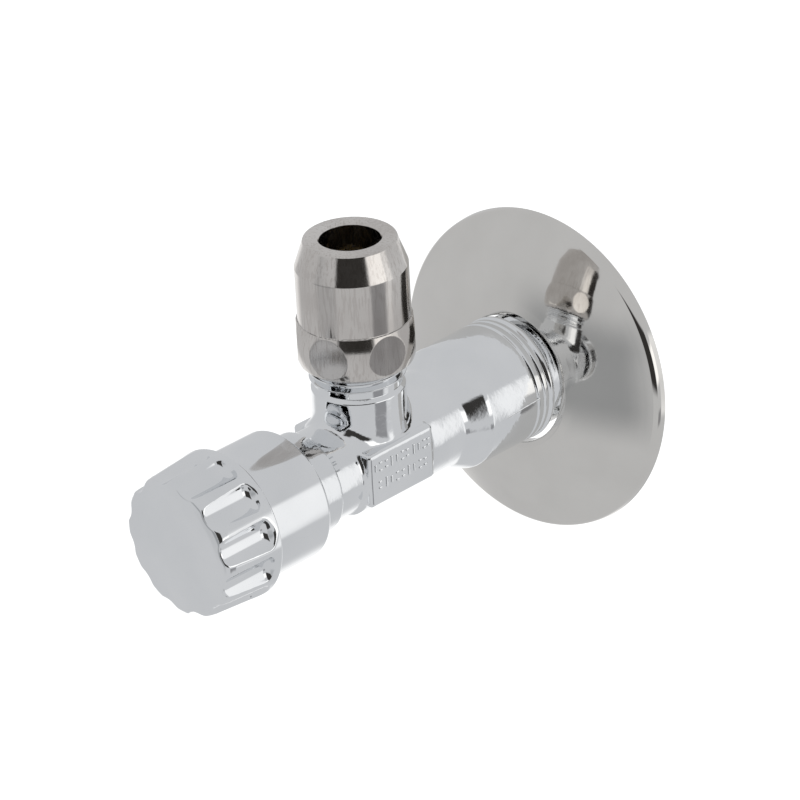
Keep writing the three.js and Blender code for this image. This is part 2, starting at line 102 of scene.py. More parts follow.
# ---------- nut, knob and rosette ----------
NUT_LEDGE = NUT_TOP - 14.5
NUT_HEX_LOW = NUT_BOTTOM + 0.7
NUT_MIDDLE = (NUT_LEDGE + NUT_HEX_LOW) / 2
NUT_FLAT = 9.9
NUT_FLAT_R = 3.6
NUT_FLAT_TURN = 48.0
NUT_UPPER_R = 9.6
NUT_FACE_R = 7.9
TUBE_R = 5.0

KNOB_EDGE = KNOB_FRONT + 1.0
GRIP_FRONT_R = 12.45
GRIP_BACK_R = GRIP_HIGH[0]
FLUTES = 12
FLUTE_FIRST = 15.0
FLUTE_R = 3.2
FLUTE_FLOOR_R = 11.3
FLUTE_END = SEAM - 0.9
FLUTE_SLOPE = 1.1

ROSETTE_R = 29.43
ROSETTE_HEIGHT = 7.15
ROSETTE_HOLE_R = 11.65
ROSETTE_SHEET = 0.6
ROSETTE_DOME_R = 68.0
ROSETTE_DOME_LEVEL = 59.7
ROSETTE_BEND_START = 28.38
ROSETTE_BEND_R = 1.5
ROSETTE_BEND_END = 83.0
NECK_TUBE = 2.2


# ---------- outlines ----------
def outline(corners, arc_steps=5):
    """A closed outline in the (radius, height) half-plane from (r, h, fillet) corners, anticlockwise.

    Returns a list of (point, normal before it, normal after it)."""
    points = [np.array(c[:2], float) for c in corners]
    fillets = [c[2] if len(c) > 2 else 0.0 for c in corners]
    area = sum(a[0] * b[1] - b[0] * a[1] for a, b in zip(points, points[1:] + points[:1]))
    if area < 0:
        points.reverse()
        fillets.reverse()
    made = []
    for i, corner in enumerate(points):
        before = corner - points[i - 1]
        after = points[(i + 1) % len(points)] - corner
        lb, la = np.linalg.norm(before), np.linalg.norm(after)
        u, v = before / lb, after / la
        nu, nv = np.array([u[1], -u[0]]), np.array([v[1], -v[0]])
        turn = u[0] * v[1] - u[1] * v[0]
        bend = math.atan2(turn, float(u @ v))
        if fillets[i] <= 0 or abs(bend) < 1e-3:
            made.append((corner, nu, nv))
            continue
        cut = min(fillets[i] * math.tan(abs(bend) / 2), 0.49 * lb, 0.49 * la)
        radius = cut / math.tan(abs(bend) / 2)
        side = 1.0 if bend > 0 else -1.0
        centre = corner - u * cut - nu * radius * side
        for k in range(arc_steps + 1):
            a = bend * k / arc_steps
            n = nu * math.cos(a) + u * math.sin(a)
            made.append((centre + n * radius * side, n, n))
    return made


# ---------- meshes ----------
def mesh_object(name, vertices, faces, loop_normals, material, body, slot):
    """A smooth mesh with its own shading normals, riding on a body. Vertices are in millimetres."""
    mesh = bpy.data.meshes.new(name)
    mesh.from_pydata((np.asarray(vertices) * MM).tolist(), [], [tuple(int(i) for i in f) for f in faces])
    mesh.polygons.foreach_set("use_smooth", [True] * len(mesh.polygons))
    mesh.normals_split_custom_set(np.asarray(loop_normals, np.float32).tolist())
    mesh.update()
    piece = bpy.data.objects.new(name, mesh)
    bpy.context.scene.collection.objects.link(piece)
    mesh.materials.append(material)
    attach(piece, body)
    return piece


def along_inlet(r, h, cos, sin):
    return np.stack([r * cos, h + 0 * cos, r * sin], -1)


def along_outlet(r, h, cos, sin):
    return np.stack([r * cos, r * sin, h + 0 * cos], -1)


def turned(name, corners, material, body, slot, place=along_inlet, offset=(0, 0, 0), segments=160,
        matrix=None):
    """An outline turned into a closed surface round the inlet or the outlet axis."""
    loop = outline(corners)
    theta = np.arange(segments) * 2 * math.pi / segments
    cos, sin = np.cos(theta), np.sin(theta)
    vertices, rings = [], []
    for point, _, _ in loop:
        if point[0] < 1e-6:
            rings.append(np.full(segments, len(vertices)))
            vertices.extend(place(0.0, point[1], cos[:1], sin[:1]))
        else:
            rings.append(np.arange(segments) + len(vertices))
            vertices.extend(place(point[0], point[1], cos, sin))
    vertices = np.array(vertices) + np.array(offset)
    faces, normals = [], []
    for i, (point, _, n0) in enumerate(loop):
        j = (i + 1) % len(loop)
        n1 = loop[j][1]
        a, b = rings[i], rings[j]
        on_axis = (point[0] < 1e-6, loop[j][0][0] < 1e-6)
        if all(on_axis) or np.linalg.norm(loop[j][0] - point) < 1e-7:
            continue
        na = place(n0[0], n0[1], cos, sin)
        nb = place(n1[0], n1[1], cos, sin)
        for k in range(segments):
            m = (k + 1) % segments
            if on_axis[0]:
                face, normal = [a[0], b[k], b[m]], [na[k], nb[k], nb[m]]
            elif on_axis[1]:
                face, normal = [a[k], b[0], a[m]], [na[k], nb[k], na[m]]
            else:
                face, normal = [a[k], b[k], b[m], a[m]], [na[k], nb[k], nb[m], na[m]]
            faces.append(face)
            normals.append(normal)
    faces, normals = outward(vertices, faces, normals)
    if matrix is not None:
        turn = np.array(matrix.to_3x3())
        vertices = vertices @ turn.T + np.array(matrix.translation)
        normals = [[turn @ n for n in ns] for ns in normals]
    flat = [n for ns in normals for n in ns]
    return mesh_object(name, vertices, faces, flat, material, body, slot)


def outward(vertices, faces, normals):
    """The faces wound so that they agree with their shading normals."""
    face = faces[len(faces) // 2]
    p = vertices[face[0]], vertices[face[1]], vertices[face[2]]
    geometric = np.cross(p[1] - p[0], p[2] - p[0])
    if geometric @ np.sum(normals[len(faces) // 2], axis=0) < 0:
        return [f[::-1] for f in faces], [n[::-1] for n in normals]
    return faces, normals


# ---------- distance fields ----------
def outline_distance(points, r, h):
    """Signed distance, negative inside, to a closed outline in the (radius, height) half-plane."""
    nearest = np.full(r.shape, 1e9)
    inside = np.zeros(r.shape, bool)
    for (r0, h0), (r1, h1) in zip(points, points[1:] + points[:1]):
        er, eh = r1 - r0, h1 - h0
        length = er * er + eh * eh
        if length < 1e-12:
            continue
        if abs(eh) > 1e-12:
            crosses = (h0 <= h) != (h1 <= h)
            inside ^= crosses & (r < r0 + (h - h0) * (er / eh))
        if r0 < 1e-6 and r1 < 1e-6:
            continue
        wr, wh = r - r0, h - h0
        t = np.clip((wr * er + wh * eh) / length, 0, 1)
        nearest = np.minimum(nearest, (wr - er * t) ** 2 + (wh - eh * t) ** 2)
    return np.where(inside, -1.0, 1.0) * np.sqrt(nearest)


def profile_field(corners, pitch=0.05, arc_steps=8):
    """A fast distance to a turned outline: exact on a fine table, read back between its nodes."""
    points = [tuple(p) for p, _, _ in outline(corners, arc_steps)]
    low = np.array([0.0, min(h for _, h in points) - 2.5])
    high = np.array([max(r for r, _ in points) + 2.5, max(h for _, h in points) + 2.5])
    size = np.ceil((high - low) / pitch).astype(int) + 1
    rs, hs = (low[d] + pitch * np.arange(size[d]) for d in range(2))
    table = outline_distance(points, *np.meshgrid(rs, hs, indexing="ij"))

    def field(r, h):
        gr = np.clip((r - low[0]) / pitch, 0, size[0] - 1.001)
        gh = np.clip((h - low[1]) / pitch, 0, size[1] - 1.001)
        i, j = gr.astype(int), gh.astype(int)
        u, v = gr - i, gh - j
        near = (table[i, j] * (1 - u) * (1 - v) + table[i + 1, j] * u * (1 - v)
                + table[i, j + 1] * (1 - u) * v + table[i + 1, j + 1] * u * v)
        return near + np.hypot(r - low[0] - gr * pitch, h - low[1] - gh * pitch)

    return field


def blend_min(a, b, k):
    """Union of two fields with a fillet of about k."""
    h = np.maximum(k - np.abs(a - b), 0.0) / k
    return np.minimum(a, b) - h * h * h * k / 6.0


def blend_max(a, b, k):
    """Intersection of two fields with a rounded edge of about k."""
    return -blend_min(-a, -b, k)


def box_field(x, y, z, centre, half, edge):
    """A box with rounded edges."""
    q = [np.abs(c - m) - (s - edge) for c, m, s in zip((x, y, z), centre, half)]
    outside = np.sqrt(sum(np.maximum(c, 0.0) ** 2 for c in q))
    return outside + np.minimum(np.maximum(np.maximum(q[0], q[1]), q[2]), 0.0) - edge


def hexagon_field(u, v, flat):
    """Distance to a hexagonal bar with a flat facing +u."""
    angles = [math.radians(60 * i) for i in range(3)]
    return np.max([np.abs(u * math.cos(a) + v * math.sin(a)) for a in angles], axis=0) - flat


def gradient(field, p, step=0.05):
    """Unit gradient at points, by the four corners of a small tetrahedron."""
    total = np.zeros_like(p)
    for e in ((1, 1, 1), (1, -1, -1), (-1, 1, -1), (-1, -1, 1)):
        e = np.array(e, float)
        q = p + e * step
        total += field(q[:, 0], q[:, 1], q[:, 2])[:, None] * e
    return total / np.maximum(np.linalg.norm(total, axis=1, keepdims=True), 1e-12)


def spaced(*stretches):
    """Grid coordinates from (start, end, step) stretches that follow one another."""
    lines = []
    for start, end, step in stretches:
        count = max(1, round((end - start) / step))
        lines.extend(np.linspace(start, end, count, endpoint=False))
    lines.append(stretches[-1][1])
    return np.array(lines)


def sampled(field, axes, block=5):
    """The field on the grid. Blocks of the grid that lie far from the surface take their sign only."""
    middles, reaches, owners = [], [], []
    for line in axes:
        starts = np.arange(0, len(line), block)
        ends = np.minimum(starts + block - 1, len(line) - 1)
        middles.append((line[starts] + line[ends]) / 2)
        reaches.append((line[ends] - line[starts]) / 2)
        owners.append(np.arange(len(line)) // block)
    middle = np.meshgrid(*middles, indexing="ij")
    reach = np.sqrt(sum(r ** 2 for r in np.meshgrid(*reaches, indexing="ij")))
    coarse = field(*(m.ravel() for m in middle)).reshape(reach.shape)
    near = (np.abs(coarse) < reach * 1.3 + 1.2)[np.ix_(*owners)]
    values = coarse[np.ix_(*owners)].copy()
    i, j, k = np.nonzero(near)
    values[i, j, k] = field(axes[0][i], axes[1][j], axes[2][k])
    return values


def contour(field, axes):
    """Vertices, quads and per-corner normals of the field's surface, keeping its sharp edges."""
    values = sampled(field, axes)
    inside = values < 0
    shape = np.array(values.shape)
    cell_shape = tuple(shape - 1)
    points, normals, cells, quads = [], [], [], []
    for axis in range(3):
        u, v = (axis + 1) % 3, (axis + 2) % 3
        low = [slice(None)] * 3
        high = [slice(None)] * 3
        low[axis], high[axis] = slice(0, -1), slice(1, None)
        edge = np.argwhere(inside[tuple(low)] != inside[tuple(high)])
        start = np.stack([axes[d][edge[:, d]] for d in range(3)], 1)
        end = start.copy()
        end[:, axis] = axes[axis][edge[:, axis] + 1]
        top = edge.copy()
        top[:, axis] += 1
        f0, f1 = values[tuple(edge.T)], values[tuple(top.T)]
        rising = f0 < 0
        lo, hi = np.zeros(len(edge)), np.ones(len(edge))
        t = f0 / (f0 - f1)
        for _ in range(4):
            p = start + (end - start) * t[:, None]
            f = field(p[:, 0], p[:, 1], p[:, 2])
            below = (f < 0) == rising
            lo, f0 = np.where(below, t, lo), np.where(below, f, f0)
            hi, f1 = np.where(below, hi, t), np.where(below, f1, f)
            t = np.clip(lo + (hi - lo) * f0 / (f0 - f1 + 1e-15), lo, hi)
        p = start + (end - start) * t[:, None]
        ids = []
        for du, dv in ((1, 1), (0, 1), (0, 0), (1, 0)):
            cell = edge.copy()
            cell[:, u] -= du
            cell[:, v] -= dv
            ids.append(np.ravel_multi_index(tuple(cell.T), cell_shape))
        quad = np.stack(ids, 1)
        quad[~rising] = quad[~rising][:, ::-1]
        points.append(np.repeat(p, 4, axis=0))
        normals.append(np.repeat(gradient(field, p), 4, axis=0))
        cells.append(np.stack(ids, 1).ravel())
        quads.append(quad)
    points, normals, cells = np.concatenate(points), np.concatenate(normals), np.concatenate(cells)
    used, index = np.unique(cells, return_inverse=True)
    count = np.bincount(index).astype(float)
    mean = np.stack([np.bincount(index, points[:, d]) for d in range(3)], 1) / count[:, None]
    offset = np.einsum("ij,ij->i", normals, points - mean[index])
    system = np.zeros((len(used), 3, 3))
    right = np.zeros((len(used), 3))
    for a in range(3):
        right[:, a] = np.bincount(index, normals[:, a] * offset)
        for b in range(3):
            system[:, a, b] = np.bincount(index, normals[:, a] * normals[:, b])
    system += np.eye(3) * 0.03 * count[:, None, None]
    vertices = mean + np.linalg.solve(system, right[:, :, None])[:, :, 0]
    cell = np.stack(np.unravel_index(used, cell_shape), 1)
    floor = np.stack([axes[d][cell[:, d]] for d in range(3)], 1)
    ceiling = np.stack([axes[d][cell[:, d] + 1] for d in range(3)], 1)
    vertices = np.clip(vertices, floor, ceiling)
    faces = np.searchsorted(used, np.concatenate(quads))
    corners = vertices[faces]
    inner = corners + 0.3 * (corners.mean(axis=1, keepdims=True) - corners)
    loop_normals = gradient(field, inner.reshape(-1, 3))
    return vertices, faces, loop_normals


def carved(name, field, axes, material, body, slot):
    """A piece from its distance field."""
    return mesh_object(name, *contour(field, axes), material, body, slot)


# ---------- materials ----------
def shader_nodes(name):
    material = bpy.data.materials.new(name)
    material.use_nodes = True
    nodes = material.node_tree.nodes
    return material, nodes, material.node_tree.links, nodes["Principled BSDF"]


def noise(nodes, links, coordinates, scale, detail=3.0, roughness=0.5):
    texture = nodes.new("ShaderNodeTexNoise")
    texture.inputs["Scale"].default_value = scale
    texture.inputs["Detail"].default_value = detail
    texture.inputs["Roughness"].default_value = roughness
    links.new(coordinates, texture.inputs["Vector"])
    return texture.outputs["Fac"]


def ranged(nodes, links, value, low, high, from_low=0.3, from_high=0.7):
    node = nodes.new("ShaderNodeMapRange")
    node.inputs["From Min"].default_value = from_low
    node.inputs["From Max"].default_value = from_high
    node.inputs["To Min"].default_value = low
    node.inputs["To Max"].default_value = high
    links.new(value, node.inputs["Value"])
    return node.outputs["Result"]


def tinted(nodes, links, value, dark, light):
    node = nodes.new("ShaderNodeMix")
    node.data_type = "RGBA"
    node.inputs["A"].default_value = (*dark, 1)
    node.inputs["B"].default_value = (*light, 1)
    links.new(ranged(nodes, links, value, 0.0, 1.0), node.inputs["Factor"])
    return node.outputs["Result"]


def bumped(nodes, links, height, distance, strength=1.0, under=None):
    node = nodes.new("ShaderNodeBump")
    node.inputs["Strength"].default_value = strength
    node.inputs["Distance"].default_value = distance
    links.new(height, node.inputs["Height"])
    if under is not None:
        links.new(under, node.inputs["Normal"])
    return node.outputs["Normal"]


def metal(name, dark, light, rough, waves=(), stretch=(1, 1, 1), pits=0.0):
    """An unevenly polished metal, over waves of (height in mm, scale, detail)."""
    material, nodes, links, shader = shader_nodes(name)
    coordinates = nodes.new("ShaderNodeTexCoord").outputs["Object"]
    mapping = nodes.new("ShaderNodeMapping")
    mapping.inputs["Scale"].default_value = stretch
    links.new(coordinates, mapping.inputs["Vector"])
    stretched = mapping.outputs["Vector"]
    shader.inputs["Metallic"].default_value = 1.0
    tint = noise(nodes, links, coordinates, 90.0)
    if pits > 0:
        speckle = ranged(nodes, links, noise(nodes, links, stretched, 2600.0, detail=2.0), 0.0, pits, 0.5,
            0.75)
        node = nodes.new("ShaderNodeMath")
        node.operation = "SUBTRACT"
        links.new(tint, node.inputs[0])
        links.new(speckle, node.inputs[1])
        tint = node.outputs["Value"]
    links.new(tinted(nodes, links, tint, dark, light), shader.inputs["Base Color"])
    polish = ranged(nodes, links, noise(nodes, links, stretched, 320.0, detail=5.0), rough[0], rough[1])
    links.new(polish, shader.inputs["Roughness"])
    normal = None
    for height, scale, detail in waves:
        wave = noise(nodes, links, stretched, scale, detail=detail)
        normal = bumped(nodes, links, wave, height * MM, under=normal)
    if normal is not None:
        links.new(normal, shader.inputs["Normal"])
    return material


def dielectric(name, dark, light, rough, grain, grain_scale=1500.0):
    """Rubber or plastic with a fine moulded grain."""
    material, nodes, links, shader = shader_nodes(name)
    coordinates = nodes.new("ShaderNodeTexCoord").outputs["Object"]
    links.new(tinted(nodes, links, noise(nodes, links, coordinates, 200.0), dark, light),
        shader.inputs["Base Color"])
    polish = ranged(nodes, links, noise(nodes, links, coordinates, 500.0), rough[0], rough[1])
    links.new(polish, shader.inputs["Roughness"])
    height = noise(nodes, links, coordinates, grain_scale, detail=4.0)
    links.new(bumped(nodes, links, height, grain * MM), shader.inputs["Normal"])
    return material


CHROME = metal("cast_chrome", (0.79, 0.805, 0.82), (0.85, 0.86, 0.872), (0.03, 0.07),
               waves=((0.11, 170.0, 0.0), (0.028, 520.0, 3.0)))
KNOB_CHROME = metal("knob_chrome", (0.79, 0.805, 0.82), (0.845, 0.855, 0.868), (0.035, 0.07),
    waves=((0.02, 110.0, 0.0),))
NICKEL = metal("nickel", (0.58, 0.55, 0.525), (0.73, 0.705, 0.68), (0.08, 0.17), waves=((0.012, 900.0, 3.0),),
               stretch=(1, 1, 0.12), pits=0.5)
STAINLESS = metal("stainless", (0.70, 0.685, 0.66), (0.745, 0.73, 0.705), (0.035, 0.07),
    waves=((0.012, 60.0, 0.0),))
BRASS = metal("turned_brass", (0.58, 0.43, 0.20), (0.68, 0.53, 0.28), (0.22, 0.34),
    waves=((0.002, 900.0, 4.0),))
STEEL = metal("spring_steel", (0.34, 0.36, 0.38), (0.42, 0.44, 0.46), (0.25, 0.35),
    waves=((0.001, 900.0, 4.0),))
RUBBER = dielectric("rubber", (0.012, 0.012, 0.013), (0.025, 0.025, 0.026), (0.55, 0.75), 0.01)
PACKING = dielectric("packing", (0.78, 0.76, 0.71), (0.86, 0.84, 0.80), (0.45, 0.6), 0.01)
ACETAL = dielectric("acetal", (0.80, 0.80, 0.78), (0.86, 0.86, 0.85), (0.3, 0.42), 0.004)


# ---------- the casting ----------
def ring_groove(y):
    """Corners of one narrow groove, walked towards the wall."""
    floor, half = BIG_END_R + 0.1 - GROOVE_DEPTH, GROOVE_HALF
    top = BIG_END_R + 0.1
    return [(top, y - half - 0.16, 0.2), (floor, y - half + 0.1, 0.12), (floor, y + half - 0.1, 0.12),
            (top, y + half + 0.16, 0.2)]


def body_field():
    grooves = [corner for y in RING_GROOVES for corner in ring_groove(y)]
    shell = profile_field([
        (0, NECK_FACE), (NECK_R, NECK_FACE, 0.2), (NECK_R, NECK_STEP, 0.8),
        (BARREL_R - 0.1, NECK_STEP + 1.1, 0.8),
        (BARREL_R, SHOULDER_START, 2.5), (BIG_END_R, SHOULDER_END, 2.0),
        (BIG_END_R + 0.1, RING_GROOVES[0] - 1.0),
        *grooves, (FLANGE_R, RING_GROOVES[-1] + 0.5, 0.1), (FLANGE_R, FLANGE_BACK, 0.3), (9.6, FLANGE_BACK),
        (9.6, FLANGE_BACK + 1.6), (G12["root"], FLANGE_BACK + 1.9), (G12["root"], TAIL_END - 0.5),
        (G12["root"] - 0.5, TAIL_END), (0, TAIL_END),
    ])
    branch = profile_field([
        (0, 0), (BRANCH_R, 0), (BRANCH_R, THREAD_START - 0.5, 0.3), (G38["root"], THREAD_START + 0.1),
        (G38["root"], BRANCH_TOP - 0.3), (G38["root"] - 0.3, BRANCH_TOP), (0, BRANCH_TOP),
    ])
    bore = profile_field([
        (0, NECK_FACE - 2), (7.8, NECK_FACE - 2), (7.8, NECK_FACE + 1.4), (7.0, NECK_FACE + 1.4),
        (7.0, NECK_STEP + 0.8), (6.4, NECK_STEP + 0.8), (6.4, -34.5), (4.0, -34.5), (4.0, -30.5),
        (6.4, -28.1), (6.4, -22.8), (7.6, -20.8), (7.6, TAIL_END + 2), (0, TAIL_END + 2),
    ])
    socket = profile_field([
        (0, 0), (4.6, 0), (4.6, 17.0), (TUBE_R + 0.3, 17.0), (TUBE_R + 0.3, BRANCH_TOP - 2.4),
        (TUBE_R + 0.6, BRANCH_TOP - 2.4), (TUBE_R + 1.9, BRANCH_TOP), (TUBE_R + 2.9, BRANCH_TOP + 2),
        (0, BRANCH_TOP + 2),
    ])

    def field(x, y, z):
        inlet = np.hypot(x, z)
        outlet = np.hypot(x, y - OUTLET_Y)
        casting = blend_min(shell(inlet, y), branch(outlet, z), BRANCH_FILLET)
        casting = blend_min(casting, box_field(x, y, z, PAD_CENTRE, PAD_HALF, PAD_EDGE), 0.5)
        return np.maximum(casting, -np.minimum(bore(inlet, y), socket(outlet, z)))

    return field


def thread(name, size, low, high, place, offset, material, slot, steps=96):
    """A male thread on the valve: a rounded ridge wound round the root cylinder."""
    crest, root, pitch = size["crest"], size["root"], size["pitch"]
    flank = (crest - root) * math.tan(math.radians(27.5))
    land = pitch / 4 - flank / 2
    base = root - 0.3
    loop = outline([(base, -land - flank), (root, -land - flank), (crest, -land, 0.12), (crest, land, 0.12),
                    (root, land + flank), (base, land + flank)], arc_steps=3)
    count = int((high - low - 2 * (land + flank)) / pitch * steps)
    vertices, faces, normals = [], [], []
    for i in range(count + 1):
        angle = 2 * math.pi * i / steps
        cos, sin = np.array([math.cos(angle)]), np.array([math.sin(angle)])
        grow = min(1.0, 0.06 + min(i, count - i) / 30)
        middle = low + land + flank + pitch * i / steps
        for point, _, _ in loop:
            vertices.append(place(base + (point[0] - base) * grow, middle + point[1], cos, sin)[0])
        if i == count:
            break
        angle1 = 2 * math.pi * (i + 1) / steps
        cos1, sin1 = np.array([math.cos(angle1)]), np.array([math.sin(angle1)])
        for j in range(len(loop)):
            k = (j + 1) % len(loop)
            if np.linalg.norm(loop[k][0] - loop[j][0]) < 1e-7:
                continue
            n0, n1 = loop[j][2], loop[k][1]
            faces.append([i * len(loop) + j, i * len(loop) + k, (i + 1) * len(loop) + k,
                (i + 1) * len(loop) + j])
            normals.append([place(n0[0], n0[1], cos, sin)[0], place(n1[0], n1[1], cos, sin)[0],
                            place(n1[0], n1[1], cos1, sin1)[0], place(n0[0], n0[1], cos1, sin1)[0]])
    faces, normals = outward(np.array(vertices), faces, normals)
    last = count * len(loop)
    vertices = np.array(vertices) + np.array(offset)
    for start, other in ((0, len(loop)), (last, last - len(loop))):
        cap = [start + j for j in range(len(loop))]
        out = vertices[start:start + len(loop)].mean(0) - vertices[other:other + len(loop)].mean(0)
        p = vertices[cap[0]], vertices[cap[len(loop) // 3]], vertices[cap[2 * len(loop) // 3]]
        if np.cross(p[1] - p[0], p[2] - p[0]) @ out < 0:
            cap.reverse()
        faces.append(cap)
        normals.append([out / np.linalg.norm(out)] * len(cap))
    flat = [n for ns in normals for n in ns]
    return mesh_object(name, vertices, faces, flat, material, "valve", slot)


body_piece = carved("valve_body_casting", body_field(), (
    spaced((-FLANGE_R - 0.4, FLANGE_R + 0.4, 0.32)),
    spaced((NECK_FACE - 0.6, NECK_STEP + 2.0, 0.22), (NECK_STEP + 2.0, SHOULDER_START - 1.0, 0.3),
           (SHOULDER_START - 1.0, SHOULDER_END + 1.0, 0.24), (SHOULDER_END + 1.0, RING_GROOVES[0] - 0.8, 0.4),
           (RING_GROOVES[0] - 0.8, FLANGE_BACK + 2.4, 0.11), (FLANGE_BACK + 2.4, TAIL_END - 0.8, 0.5),
           (TAIL_END - 0.8, TAIL_END + 0.6, 0.25)),
    spaced((-FLANGE_R - 0.4, THREAD_START - 1.0, 0.32), (THREAD_START - 1.0, THREAD_START + 0.6, 0.16),
           (THREAD_START + 0.6, BRANCH_TOP - 1.0, 0.5), (BRANCH_TOP - 1.0, BRANCH_TOP + 0.6, 0.25)),
), CHROME, "valve", "chrome_body")
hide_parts("valve_body")
thread("outlet_thread", G38, THREAD_START + 0.1, BRANCH_TOP - 0.5, along_outlet, (0, OUTLET_Y, 0), CHROME,
    "chrome_body")
thread("inlet_thread", G12, FLANGE_BACK + 2.1, TAIL_END - 0.6, along_inlet, (0, 0, 0), CHROME, "chrome_body")


def parting_field(x, y, z):
    """The casting's parting line along the side of the big end."""
    ridge = blend_max(np.abs(z - PARTING_Z - 0.04 * (y - PARTING_Y)) - 0.13, np.abs(y - PARTING_Y) - 4.2, 0.2)
    return blend_max(ridge, np.abs(np.hypot(x, z) - BIG_END_R) - 0.13, 0.12)


carved("parting_line", parting_field, (
    spaced((BIG_END_R - 0.6, BIG_END_R + 0.4, 0.07)), spaced((PARTING_Y - 4.8, PARTING_Y + 4.8, 0.2)),
    spaced((PARTING_Z - 0.9, PARTING_Z + 0.9, 0.07))), CHROME, "valve", "chrome_body")


def relief_field(face):
    """Plain raised dots and dashes in two rows, standing on the pad's face."""
    rows = ((2.5, (-48.3, -47.1, -45.7, -44.5, -43.2, -41.9, -40.7, -39.2, -38.0, -36.7, -35.7)),
            (-0.9, (-47.4, -45.9, -44.7, -43.3, -41.9, -40.6, -39.3, -37.8, -36.6)))

    def field(x, y, z):
        flat = np.full(x.shape, 1e3)
        for row, (height, places) in enumerate(rows):
            for i, place in enumerate(places):
                u, v = y - place, z - height
                kind = (i * 3 + row * 2) % 4
                if kind < 2:
                    tall = 0.5 + 0.3 * kind
                    mark = np.hypot(u, np.maximum(np.abs(v) - tall, 0)) - 0.3
                else:
                    gap = 0.55 + 0.15 * (kind - 2)
                    mark = np.hypot(np.maximum(np.abs(u) - 0.1, 0), np.abs(v) - gap) - 0.34
                flat = np.minimum(flat, mark)
        return blend_max(flat, np.abs(x - face) - 0.16, 0.3)

    return field


for side, name in ((1, "pad_relief_right"), (-1, "pad_relief_left")):
    face = side * PAD_HALF[0]
    carved(name, relief_field(face), (
        spaced((face - 0.35, face + 0.35, 0.1)), spaced((-49.4, -34.9, 0.13)), spaced((-3.3, 4.4, 0.13)),
    ), CHROME, "valve", "chrome_body")


# ---------- bonnet, gland nut and seals ----------
GLAND_BORE_R = 5.2
GLAND_FLOOR = BONNET_FRONT + 5.6
BONNET_BARREL_R = 7.2
STEM_R = 3.1
SPINDLE_R = 4.0


def hex_piece(name, node, corners, flat, low, high, bore, material, slot, body, along_z=False, step=0.2):
    """A turned piece with a chamfered hexagon between two heights on the inlet axis."""
    shell, hole = profile_field(corners), profile_field(bore)
    crown = profile_field([(0, low), (flat, low), (flat / 0.9, low + 0.75), (flat / 0.9, high - 0.75),
                           (flat, high), (0, high)])

    def field(x, y, z):
        r = np.hypot(x, z)
        head = np.maximum(hexagon_field(x, z, flat), crown(r, y))
        return np.maximum(np.minimum(shell(r, y), head), -hole(r, y))

    reach = max(flat / 0.9, max(c[0] for c in corners)) + 0.4
    bottom = min(low, min(c[1] for c in corners)) - 0.4
    top = max(high, max(c[1] for c in corners)) + 0.4
    piece = carved(name, field, (spaced((-reach, reach, step)), spaced((bottom, top, step)),
                                 spaced((-reach, reach, step))), material, body, slot)
    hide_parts(node)
    return piece


collar_back = NECK_FACE - 0.3
hex_piece("bonnet_turned", "bonnet", [
    (0, BONNET_FRONT), (BONNET_BARREL_R, BONNET_FRONT, 0.3), (BONNET_BARREL_R, SLEEVE_BACK - 0.3),
    (COLLAR_R, SLEEVE_BACK - 0.3, 0.5), (COLLAR_R, collar_back, 0.35), (6.2, collar_back),
    (6.2, NECK_FACE + 1.7),
    (6.7, NECK_FACE + 2.0), (6.7, BONNET_END - 0.5), (6.2, BONNET_END), (0, BONNET_END),
], 8.5, SLEEVE_BACK - 5.2, SLEEVE_BACK - 0.2, [
    (0, BONNET_FRONT - 2), (GLAND_BORE_R, BONNET_FRONT - 2), (GLAND_BORE_R, GLAND_FLOOR),
    (SPINDLE_R + 0.1, GLAND_FLOOR), (SPINDLE_R + 0.1, BONNET_END + 2), (0, BONNET_END + 2),
], CHROME, "chrome_body", "valve")
gland_head = BONNET_FRONT - 0.3
hex_piece("gland_nut_turned", "gland_nut", [
    (0, gland_head - 0.8), (GLAND_BORE_R - 0.3, gland_head - 0.8),
    (GLAND_BORE_R - 0.3, GLAND_FLOOR - 3.6, 0.3),
    (0, GLAND_FLOOR - 3.6),
], 6.0, gland_head - 2.1, gland_head, [
    (0, gland_head - 4), (STEM_R + 0.1, gland_head - 4), (STEM_R + 0.1, GLAND_FLOOR), (0, GLAND_FLOOR),
], BRASS, "brass", "valve")


def ring_corners(inner, outer, low, high, fillet=0.1):
    return [(inner, low, fillet), (outer, low, fillet), (outer, high, fillet), (inner, high, fillet)]


def turned_for(node, name, corners, material, body, slot, **options):
    piece = turned(name, corners, material, body, slot, **options)
    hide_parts(node)
    return piece


def o_ring(node, radius, section, y, body):
    corners = ring_corners(radius - section, radius + section, y - section, y + section, section * 0.98)
    turned_for(node, node + "_moulded", corners, RUBBER, body, "rubber")


o_ring("bonnet_o_ring", 7.0, 0.5, NECK_FACE + 0.6, "valve")
o_ring("spindle_o_ring_front", SPINDLE_R - 0.45, 0.45, NECK_FACE - 5.0, "knob")
o_ring("spindle_o_ring_rear", SPINDLE_R - 0.45, 0.45, NECK_FACE - 2.4, "knob")
turned_for("gland_washer", "gland_washer_turned",
    ring_corners(STEM_R + 0.1, 4.9, GLAND_FLOOR - 0.9, GLAND_FLOOR - 0.3),
           BRASS, "valve", "brass")
turned_for("gland_packing", "gland_packing_cut",
           ring_corners(STEM_R + 0.1, 4.9, GLAND_FLOOR - 3.3, GLAND_FLOOR - 1.2, 0.25), PACKING, "valve",
           "packing")

